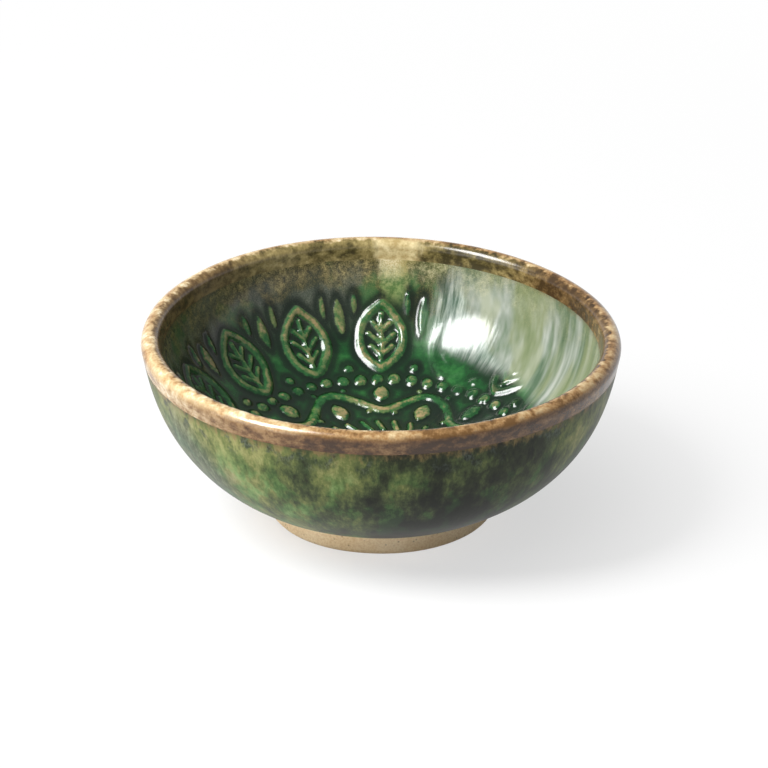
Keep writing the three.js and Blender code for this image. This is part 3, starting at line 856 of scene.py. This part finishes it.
def olive_run_glaze():
    """Olive and green reactive glaze, finely mottled and half matt, with grey-blue patches under the lip
    band.
    One side of the bowl is painted pale and the other dark, partly its own tone and partly painted light and
    shade."""
    material, tree, shader = glossy_glaze("olive_run_glaze", 0.4, 0.16)
    fall, across, _, along = fall_place(tree)
    to_edge = add(tree, "ShaderNodeAttribute", attribute_name="near").outputs["Fac"]
    below_lip = summed(tree, along, -OUTSIDE_START / MM)
    patches = glaze_fur(tree, 10.0, 13.0, 2.0)
    mottle = glaze_fur(tree, 1.5, 2.6, 4.0)
    grain = glaze_fur(tree, 0.45, 0.7, 2.0)
    # Painted light and shade over the glaze's own tone: pale on the left where the light falls, dark to the
    # right, pale again at the far right, and dark towards the foot.
    lighter = eased(tree, (across, -32.0, 30.0, 0.16, -0.17))
    painted_fill_right = eased(tree, (across, 10.0, 42.0, 0.0, 0.2))
    low = eased(tree, (below_lip, 6.0, 34.0, 0.0, -0.11))
    tone = summed(tree, lighter, painted_fill_right, (mottle, 0.38), (patches, 0.62), low, (grain, 0.13))
    colour = add(tree, "ShaderNodeValToRGB", [tone],
                 stops=[(0.40, "#14180f"), (0.50, "#272e1b"), (0.58, "#3f4a2a"), (0.67, "#626a3a"),
                        (0.76, "#878654"), (0.88, "#a7a072")])
    green = add(tree, "ShaderNodeValToRGB", [tone],
                stops=[(0.45, "#20361b"), (0.6, "#416330"), (0.78, "#6d9257")])
    colour = laid_over(tree, colour, green, (glaze_fur(tree, 6.0, 8.0, 3.0), 0.5, 0.64, 0.0, 0.75),
                       (below_lip, 4.0, 14.0))
    # A grey-green pool lies low on the left, and along the far left edge the same grey is a painted sheen.
    pool_heart = (-43.0, -25.0, OUTSIDE_START / MM + 18.0)
    off_pool = add(tree, "ShaderNodeVectorMath", [fall, pool_heart], operation="DISTANCE").outputs["Value"]
    grey_here = add(tree, "ShaderNodeMath", [
        eased(tree, (summed(tree, off_pool, (patches, -16.0)), 10.0, -1.0, 0.0, 0.75)),
        eased(tree, (summed(tree, across, (patches, -14.0)), -51.0, -58.0, 0.0, 0.6)),
    ], operation="MAXIMUM")
    grey = add(tree, "ShaderNodeValToRGB", [summed(tree, (grain, 0.4), (mottle, 0.6))],
               stops=[(0.4, "#26332a"), (0.52, "#46544a"), (0.64, "#6c7967")])
    colour = laid_over(tree, colour, grey, grey_here)
    # Grey-blue glaze gathers in patches about 8 mm wide just under the band of the lip.
    slate = add(tree, "ShaderNodeValToRGB", [grain], stops=[(0.4, "#20261f"), (0.6, "#434c46")])
    colour = laid_over(tree, colour, slate, (glaze_fur(tree, 4.0, 4.5, 3.0), 0.5, 0.62, 0.0, 0.8),
                       (below_lip, 9.0, 4.0))
    brown = add(tree, "ShaderNodeValToRGB", [mottle], stops=[(0.4, "#3a2c1a"), (0.62, "#75613e")])
    colour = laid_over(tree, colour, brown, (summed(tree, below_lip, (mottle, -7.0)), 0.6, -2.0, 0.0, 0.9))
    # Along its lower edge the glaze is thin and burns to a red-brown line.
    colour = laid_over(tree, colour, "#6b4426", (to_edge, 0.7, 0.2, 0.0, 0.8))
    ripple = summed(tree, (glaze_fur(tree, 2.4, 9.0, 2.0), 0.7), (mottle, 0.3))
    surfaced(tree, shader, colour, ripple, 0.3, 0.2 * MM)
    return material


OUTSIDE_RIM_LINE = OUTSIDE_START + RIM_BAND_OUTSIDE
outside_glaze = coat("outside_olive_glaze", run_coat_tree(), OUTSIDE_ROWS, OUTSIDE_RIM_LINE,
                     OUTSIDE_START + OUTSIDE_LENGTH - BARE_CLAY, olive_run_glaze())
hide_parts("outside_glaze")
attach(outside_glaze, "root")

# Rim glaze
# A band of iron-brown glaze brushed over the lip. It breaks to tan and cream on the crest, where
# it is thinnest, and stays dark along both of its edges.
RIM_ROWS = (36, 12)


def rim_coat_tree():
    """The band over the lip, of even depth, with its edges against the other two coats."""
    tree, given, out = node_tree("rim_coat", COAT_INPUTS)
    grid, turn, share, lifted = coat_rows(tree, given, True)
    along = add(tree, "ShaderNodeMapRange", [share, 0.0, 1.0, given.outputs["Start"], given.outputs["End"]])
    lay_on_bowl(tree, given, out, grid, turn, along, eased(tree, given.outputs["Depth"], lifted))
    return tree


def iron_brown_rim_glaze():
    """Iron-brown glaze that breaks to tan over the crest, in a mottle of about 1 mm. Below the crest
    it stays brown outside; inside it turns brown too, but at the back it fades to olive speckle."""
    material, tree, shader = glossy_glaze("iron_brown_rim_glaze", 0.22)
    _, across, depth, along = fall_place(tree)
    blots = glaze_fur(tree, 2.3, 1.4, 2.0)
    specks = glaze_fur(tree, 0.4, 0.35, 2.0)
    clouds = glaze_fur(tree, 12.0, 12.0, 2.0)
    # Painted light and shade: the band is paler on the left, where the light falls, and darker at the front.
    painted_light_left = eased(tree, (across, 20.0, -45.0, -0.04, 0.05))
    painted_shade_front = eased(tree, (depth, -34.0, -48.0, 0.0, -0.05))
    tone = summed(tree, (specks, 0.2), (blots, 0.62), painted_light_left, painted_shade_front, (clouds, 0.43))
    colour = add(tree, "ShaderNodeValToRGB", [tone],
                 stops=[(0.48, "#6e4f2b"), (0.57, "#9a774c"), (0.64, "#b3956a"), (0.73, "#cbb58b"),
                        (0.82, "#e8dabb")])
    # Distances along the clay's lip, in millimetres from its crest: inside is less, outside more.
    crest = (INSIDE_LENGTH + OUTSIDE_START) / 2 / MM
    from_crest = summed(tree, along, -crest, (blots, 2.4))
    dark = add(tree, "ShaderNodeValToRGB", [tone],
               stops=[(0.50, "#342010"), (0.62, "#583b20"), (0.76, "#80603b")])
    # On the far left, where the light falls, the dark band outside is painted paler.
    colour = laid_over(tree, colour, dark, (from_crest, 2.0, 2.9, 0.0, 0.94),
                       (across, -28.0, -47.0, 1.0, 0.4))
    shade = add(tree, "ShaderNodeValToRGB", [tone],
                stops=[(0.50, "#3a2a16"), (0.64, "#624a2a"), (0.78, "#8f7448")])
    olive = add(tree, "ShaderNodeValToRGB", [tone],
                stops=[(0.5, "#353118"), (0.6, "#5e5630"), (0.7, "#857748"), (0.82, "#ab9b64")])
    under = laid_over(tree, shade, olive, (depth, 30.0, 46.0))
    # The cream run of the inside starts on the lip, and the lip is cream there too.
    aside = summed(tree, beside_cream_run(tree, across), (glaze_fur(tree, 3.0, 4.0), 7.0))
    cream = add(tree, "ShaderNodeValToRGB", [tone], stops=[(0.5, "#b39d69"), (0.7, "#e0d1a2")])
    under = laid_over(tree, under, cream, (aside, 9.9, 7.2, 0.0, 0.92), (depth, 10.0, 20.0))
    colour = laid_over(tree, colour, under, (from_crest, 0.95, 0.25, 0.0, 0.94))
    surfaced(tree, shader, colour, blots, 0.2, 0.15 * MM)
    return material


rim_glaze = coat("iron_brown_rim_glaze", rim_coat_tree(), RIM_ROWS, INSIDE_RIM_LINE,
                 OUTSIDE_RIM_LINE, iron_brown_rim_glaze())
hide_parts("rim_glaze")
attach(rim_glaze, "root")
bpy.data.objects.remove(section)

# Table, light and camera
# The bowl stands on a plain white table in a white room. One oval soft light stands high on the
# left and a weak screen low beside it, and the camera looks down at the bowl through a long lens.
TABLE_HALF = 2.0
KEY_DIRECTION = Vector((-0.57, -0.25, 0.785))
KEY_DISTANCE = 0.9
KEY_WIDTH = 0.38
KEY_HEIGHT = 0.54
KEY_POWER = 13.0
FILL_DIRECTION = Vector((-0.85, -0.5, 0.12))
FILL_DISTANCE = 1.1
FILL_SIZE = 0.9
FILL_POWER = 4.0
ROOM_LIGHT = 0.28
CEILING_WHITE = 0.4
NEAR_WHITE = 0.87
CONTACT_WHITE = 0.7
CAMERA_DISTANCE = 1.5
CAMERA_ELEVATION = math.radians(25.5)
CAMERA_TARGET = Vector((0, 0, 20)) * MM
CAMERA_AIM = Vector((0.573, 3.18, 26.66)) * MM
CAMERA_REACH = 20.0
PIXELS_PER_MM = 4.782
IMAGE_SIDE = 768
SENSOR_MM = 36.0


def seen(tree):
    """1 for the rays that show the room: the camera's own, and those off glossy and clear surfaces."""
    rays = add(tree, "ShaderNodeLightPath")
    direct = summed(tree, rays.outputs["Is Camera Ray"], rays.outputs["Is Glossy Ray"])
    return add(tree, "ShaderNodeMath", [direct, rays.outputs["Is Transmission Ray"]], operation="ADD",
               use_clamp=True)


def soft_light(name, shape, width, height, power, direction, distance):
    """An area light that far off in that direction, turned to the foot of the bowl."""
    data = bpy.data.lights.new(name, "AREA")
    data.shape = shape
    data.size = width
    data.size_y = height
    data.energy = power
    light = placed(name, data)
    light.location = direction.normalized() * distance
    light.rotation_euler = direction.to_track_quat("Z", "Y").to_euler()


# The room is white round the horizon and dimmer overhead, as a studio is above its white backdrop.
world = bpy.data.worlds.new("white_room")
bpy.context.scene.world = world
world.use_nodes = True
sky = world.node_tree
background = sky.nodes["Background"]
ray = add(sky, "ShaderNodeSeparateXYZ", [add(sky, "ShaderNodeTexCoord").outputs["Generated"]])
backdrop = eased(sky, (ray.outputs["Z"], 0.4, 0.12, CEILING_WHITE, 1.0))
brightness = add(sky, "ShaderNodeMapRange", {"Value": seen(sky), "To Min": ROOM_LIGHT, "To Max": backdrop})
sky.links.new(brightness.outputs[0], background.inputs["Strength"])
background.inputs["Color"].default_value = (1, 1, 1, 1)

corners = [(-TABLE_HALF, -TABLE_HALF, 0), (TABLE_HALF, -TABLE_HALF, 0), (TABLE_HALF, TABLE_HALF, 0),
           (-TABLE_HALF, TABLE_HALF, 0)]
table_mesh = bpy.data.meshes.new("white_table")
table_mesh.from_pydata(corners, [], [(0, 1, 2, 3)])
table = placed("white_table", table_mesh)
paper, paper_tree, paper_shader = new_material("white_paper", 0.9)
paper_shader.inputs["Base Color"].default_value = linear("#e8e8e8")
# Seen directly, the paper is mostly plain white and in part lit, which keeps the bowl's shadow. Far
# from the bowl it is all plain white, and close under it more of it is lit.
glow = add(paper_tree, "ShaderNodeEmission", {"Color": (1, 1, 1, 1), "Strength": 1.0})
from_bowl = add(paper_tree, "ShaderNodeVectorMath", [add(paper_tree, "ShaderNodeTexCoord").outputs["Object"]],
                operation="LENGTH").outputs["Value"]
plain_white = eased(paper_tree, (from_bowl, 0.13, 0.35, NEAR_WHITE, 1.0),
                    (from_bowl, 0.03, 0.09, CONTACT_WHITE, 1.0), seen(paper_tree))
lit = add(paper_tree, "ShaderNodeMixShader", [plain_white, paper_shader, glow])
paper_tree.links.new(lit.outputs[0], paper_tree.nodes["Material Output"].inputs["Surface"])
table_mesh.materials.append(paper)

soft_light("key_softbox", "ELLIPSE", KEY_WIDTH, KEY_HEIGHT, KEY_POWER, KEY_DIRECTION, KEY_DISTANCE)
soft_light("fill_screen", "DISK", FILL_SIZE, FILL_SIZE, FILL_POWER, FILL_DIRECTION, FILL_DISTANCE)

camera_data = bpy.data.cameras.new("camera")
camera_data.sensor_width = SENSOR_MM
camera_data.lens = PIXELS_PER_MM * CAMERA_DISTANCE / MM * SENSOR_MM / IMAGE_SIDE
camera_data.clip_end = CAMERA_REACH
camera = placed("camera", camera_data)
back = Vector((0, -math.cos(CAMERA_ELEVATION), math.sin(CAMERA_ELEVATION)))
camera.location = CAMERA_TARGET + back * CAMERA_DISTANCE
camera.rotation_euler = (camera.location - CAMERA_AIM).to_track_quat("Z", "Y").to_euler()
bpy.context.scene.camera = camera
bpy.context.scene.view_settings.view_transform = "Standard"
